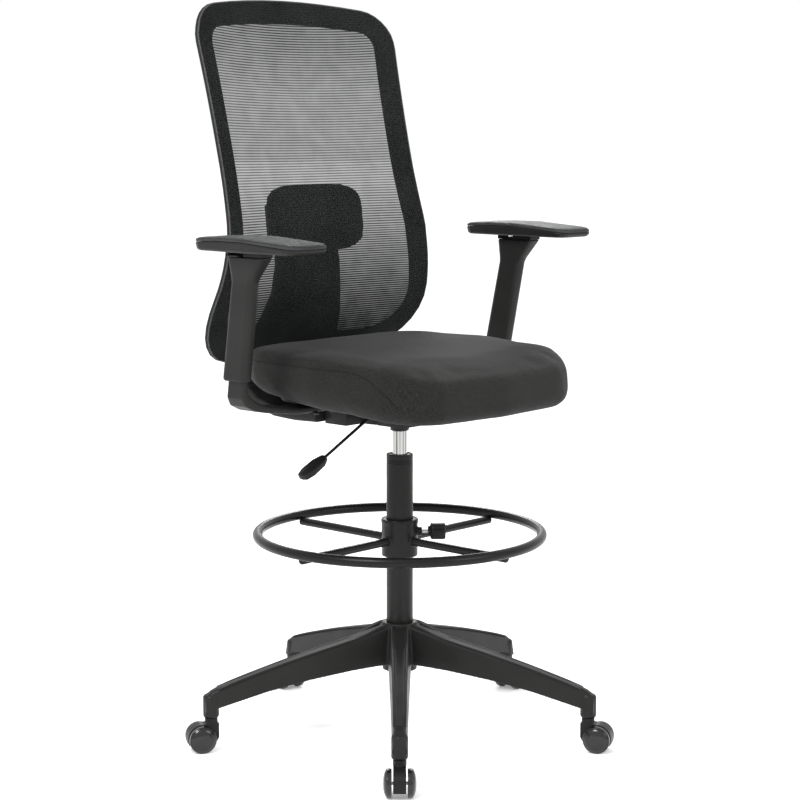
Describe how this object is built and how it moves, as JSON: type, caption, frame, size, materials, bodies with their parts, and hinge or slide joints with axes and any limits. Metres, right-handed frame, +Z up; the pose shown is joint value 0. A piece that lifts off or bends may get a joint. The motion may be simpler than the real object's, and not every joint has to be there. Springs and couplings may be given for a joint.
{
  "type": "drafting chair",
  "caption": "Tall mesh-back swivel drafting chair with a foot ring, height-adjustable armrests, gas lift and a five-arm caster base.",
  "frame": {"origin": "on the floor, under the axis of the gas column", "axes": "+Z up, -Y the way the sitter faces, +X to the sitter's left"},
  "size_m": [0.825, 0.7894, 1.377],
  "materials": {
    "black_nylon": "fine moulded grain, semi-matt",
    "black_powder_coat": "black powder coat, semi-gloss",
    "white_acetal": "satin",
    "zinc_steel": "zinc plated",
    "chrome": "polished",
    "birch_plywood": "black-stained plywood under the upholstery",
    "charcoal_fabric": "woven upholstery, matt",
    "black_mesh": "stretched see-through mesh with fine horizontal ribs",
    "soft_pad_skin": "soft integral-skin foam, satin",
    "gloss_wheel_nylon": "polished nylon"
  },
  "bodies": {
    "base": {"base_star": "black_nylon", "column_tube": "black_powder_coat", "column_guide_bush": "white_acetal"},
    "lift_rod_group": {"lift_rod": "zinc_steel", "lift_thrust_bearing": "zinc_steel", "lift_retaining_clip": "zinc_steel"},
    "seat_unit": {"lift_cylinder": "chrome", "mechanism_housing": "black_powder_coat", "lever_pivot_pin": "zinc_steel", "seat_pan": "birch_plywood", "seat_cushion": "charcoal_fabric", "back_support": "black_nylon", "back_frame": "black_nylon", "back_mesh": "black_mesh", "left_arm_bracket": "black_nylon", "right_arm_bracket": "black_nylon"},
    "valve_pin": {"lift_valve_pin": "zinc_steel"},
    "height_lever": {"lever_rod": "black_powder_coat", "lever_paddle": "black_nylon"},
    "lumbar": {"lumbar_pad": "soft_pad_skin", "lumbar_carrier": "black_nylon"},
    "ring_bush": {"foot_ring_bush": "black_nylon"},
    "foot_ring": {"foot_ring_tube": "black_powder_coat", "foot_ring_collar": "black_powder_coat"},
    "clamp": {"clamp_knob": "black_nylon", "clamp_stud": "zinc_steel"},
    "left_arm": {"left_arm_sleeve": "black_nylon", "left_arm_pad_base": "black_nylon", "left_arm_pad": "soft_pad_skin"},
    "left_trigger": {"left_arm_trigger": "black_nylon"},
    "right_arm": {"right_arm_sleeve": "black_nylon", "right_arm_pad_base": "black_nylon", "right_arm_pad": "soft_pad_skin"},
    "right_trigger": {"right_arm_trigger": "black_nylon"},
    "caster_1": {"caster_1_stem": "zinc_steel", "caster_1_housing": "black_nylon", "caster_1_axle": "zinc_steel"},
    "caster_1_left_wheel": {"caster_1_wheel_left": "gloss_wheel_nylon"},
    "caster_1_right_wheel": {"caster_1_wheel_right": "gloss_wheel_nylon"},
    "caster_2": {"caster_2_stem": "zinc_steel", "caster_2_housing": "black_nylon", "caster_2_axle": "zinc_steel"},
    "caster_2_left_wheel": {"caster_2_wheel_left": "gloss_wheel_nylon"},
    "caster_2_right_wheel": {"caster_2_wheel_right": "gloss_wheel_nylon"},
    "caster_3": {"caster_3_stem": "zinc_steel", "caster_3_housing": "black_nylon", "caster_3_axle": "zinc_steel"},
    "caster_3_left_wheel": {"caster_3_wheel_left": "gloss_wheel_nylon"},
    "caster_3_right_wheel": {"caster_3_wheel_right": "gloss_wheel_nylon"},
    "caster_4": {"caster_4_stem": "zinc_steel", "caster_4_housing": "black_nylon", "caster_4_axle": "zinc_steel"},
    "caster_4_left_wheel": {"caster_4_wheel_left": "gloss_wheel_nylon"},
    "caster_4_right_wheel": {"caster_4_wheel_right": "gloss_wheel_nylon"},
    "caster_5": {"caster_5_stem": "zinc_steel", "caster_5_housing": "black_nylon", "caster_5_axle": "zinc_steel"},
    "caster_5_left_wheel": {"caster_5_wheel_left": "gloss_wheel_nylon"},
    "caster_5_right_wheel": {"caster_5_wheel_right": "gloss_wheel_nylon"}
  },
  "joints": [
    {"name": "seat_swivel", "type": "hinge", "parent": "base", "child": "lift_rod_group", "pos_m": [0, 0, 0.1285], "axis": [0, 0, 1], "continuous": true},
    {"name": "gas_lift", "type": "slide", "parent": "lift_rod_group", "child": "seat_unit", "axis": [0, 0, 1], "range_m": [-0.04, 0.16]},
    {"name": "valve_pin_press", "type": "slide", "parent": "seat_unit", "child": "valve_pin", "axis": [0, 0, -1], "range_m": [0, 0.0055], "stiffness_N_per_m": 400},
    {"name": "height_lever", "type": "hinge", "parent": "seat_unit", "child": "height_lever", "pos_m": [-0.045, 0, 0.625], "axis": [0, 1, 0], "range_deg": [0, 6], "stiffness_Nm_per_rad": 6},
    {"name": "lumbar_height", "type": "slide", "parent": "seat_unit", "child": "lumbar", "axis": [0, 0.1191, 0.9929], "range_m": [-0.03, 0.01]},
    {"name": "foot_ring_height", "type": "slide", "parent": "base", "child": "ring_bush", "axis": [0, 0, 1], "range_m": [-0.115, 0.075]},
    {"name": "foot_ring_turn", "type": "hinge", "parent": "ring_bush", "child": "foot_ring", "pos_m": [0, 0, 0.3777], "axis": [0, 0, 1], "continuous": true},
    {"name": "clamp_knob_turn", "type": "hinge", "parent": "foot_ring", "child": "clamp", "pos_m": [0, 0, 0.3877], "axis": [0.7071, -0.7071, 0], "continuous": true},
    {"name": "left_arm_height", "type": "slide", "parent": "seat_unit", "child": "left_arm", "axis": [0.0391, -0.1598, 0.9864], "range_m": [0, 0.07]},
    {"name": "left_arm_trigger_squeeze", "type": "hinge", "parent": "left_arm", "child": "left_trigger", "pos_m": [0.34879, 0.03663, 0.9209], "axis": [0, -1, 0], "range_deg": [0, 3], "stiffness_Nm_per_rad": 0.6},
    {"name": "right_arm_height", "type": "slide", "parent": "seat_unit", "child": "right_arm", "axis": [-0.0391, -0.1598, 0.9864], "range_m": [0, 0.07]},
    {"name": "right_arm_trigger_squeeze", "type": "hinge", "parent": "right_arm", "child": "right_trigger", "pos_m": [-0.34879, 0.03663, 0.9209], "axis": [0, 1, 0], "range_deg": [0, 3], "stiffness_Nm_per_rad": 0.6},
    {"name": "caster_1_swivel", "type": "hinge", "parent": "base", "child": "caster_1", "pos_m": [-0.26911, -0.24659, 0.06], "axis": [0, 0, 1], "continuous": true},
    {"name": "caster_1_left_roll", "type": "hinge", "parent": "caster_1", "child": "caster_1_left_wheel", "pos_m": [-0.2837, -0.25997, 0.02519], "axis": [0.6756, -0.7373, 0], "continuous": true},
    {"name": "caster_1_right_roll", "type": "hinge", "parent": "caster_1", "child": "caster_1_right_wheel", "pos_m": [-0.2837, -0.25997, 0.02519], "axis": [0.6756, -0.7373, 0], "continuous": true},
    {"name": "caster_2_swivel", "type": "hinge", "parent": "base", "child": "caster_2", "pos_m": [0.15136, -0.33214, 0.06], "axis": [0, 0, 1], "continuous": true},
    {"name": "caster_2_left_roll", "type": "hinge", "parent": "caster_2", "child": "caster_2_left_wheel", "pos_m": [0.15957, -0.35015, 0.02519], "axis": [0.91, 0.4147, 0], "continuous": true},
    {"name": "caster_2_right_roll", "type": "hinge", "parent": "caster_2", "child": "caster_2_right_wheel", "pos_m": [0.15957, -0.35015, 0.02519], "axis": [0.91, 0.4147, 0], "continuous": true},
    {"name": "caster_3_swivel", "type": "hinge", "parent": "base", "child": "caster_3", "pos_m": [0.36265, 0.04132, 0.06], "axis": [0, 0, 1], "continuous": true},
    {"name": "caster_3_left_roll", "type": "hinge", "parent": "caster_3", "child": "caster_3_left_wheel", "pos_m": [0.38233, 0.04356, 0.02519], "axis": [-0.1132, 0.9936, 0], "continuous": true},
    {"name": "caster_3_right_roll", "type": "hinge", "parent": "caster_3", "child": "caster_3_right_wheel", "pos_m": [0.38233, 0.04356, 0.02519], "axis": [-0.1132, 0.9936, 0], "continuous": true},
    {"name": "caster_4_swivel", "type": "hinge", "parent": "base", "child": "caster_4", "pos_m": [0.07277, 0.35767, 0.06], "axis": [0, 0, 1], "continuous": true},
    {"name": "caster_4_left_roll", "type": "hinge", "parent": "caster_4", "child": "caster_4_left_wheel", "pos_m": [0.07672, 0.37707, 0.02519], "axis": [-0.9799, 0.1994, 0], "continuous": true},
    {"name": "caster_4_right_roll", "type": "hinge", "parent": "caster_4", "child": "caster_4_right_wheel", "pos_m": [0.07672, 0.37707, 0.02519], "axis": [-0.9799, 0.1994, 0], "continuous": true},
    {"name": "caster_5_swivel", "type": "hinge", "parent": "base", "child": "caster_5", "pos_m": [-0.31768, 0.17974, 0.06], "axis": [0, 0, 1], "continuous": true},
    {"name": "caster_5_left_roll", "type": "hinge", "parent": "caster_5", "child": "caster_5_left_wheel", "pos_m": [-0.33491, 0.18948, 0.02519], "axis": [-0.4924, -0.8704, 0], "continuous": true},
    {"name": "caster_5_right_roll", "type": "hinge", "parent": "caster_5", "child": "caster_5_right_wheel", "pos_m": [-0.33491, 0.18948, 0.02519], "axis": [-0.4924, -0.8704, 0], "continuous": true}
  ],
  "couplings": [
    {"joint": "valve_pin_press", "follows": "height_lever", "m_per_rad": 0.049}
  ]
}
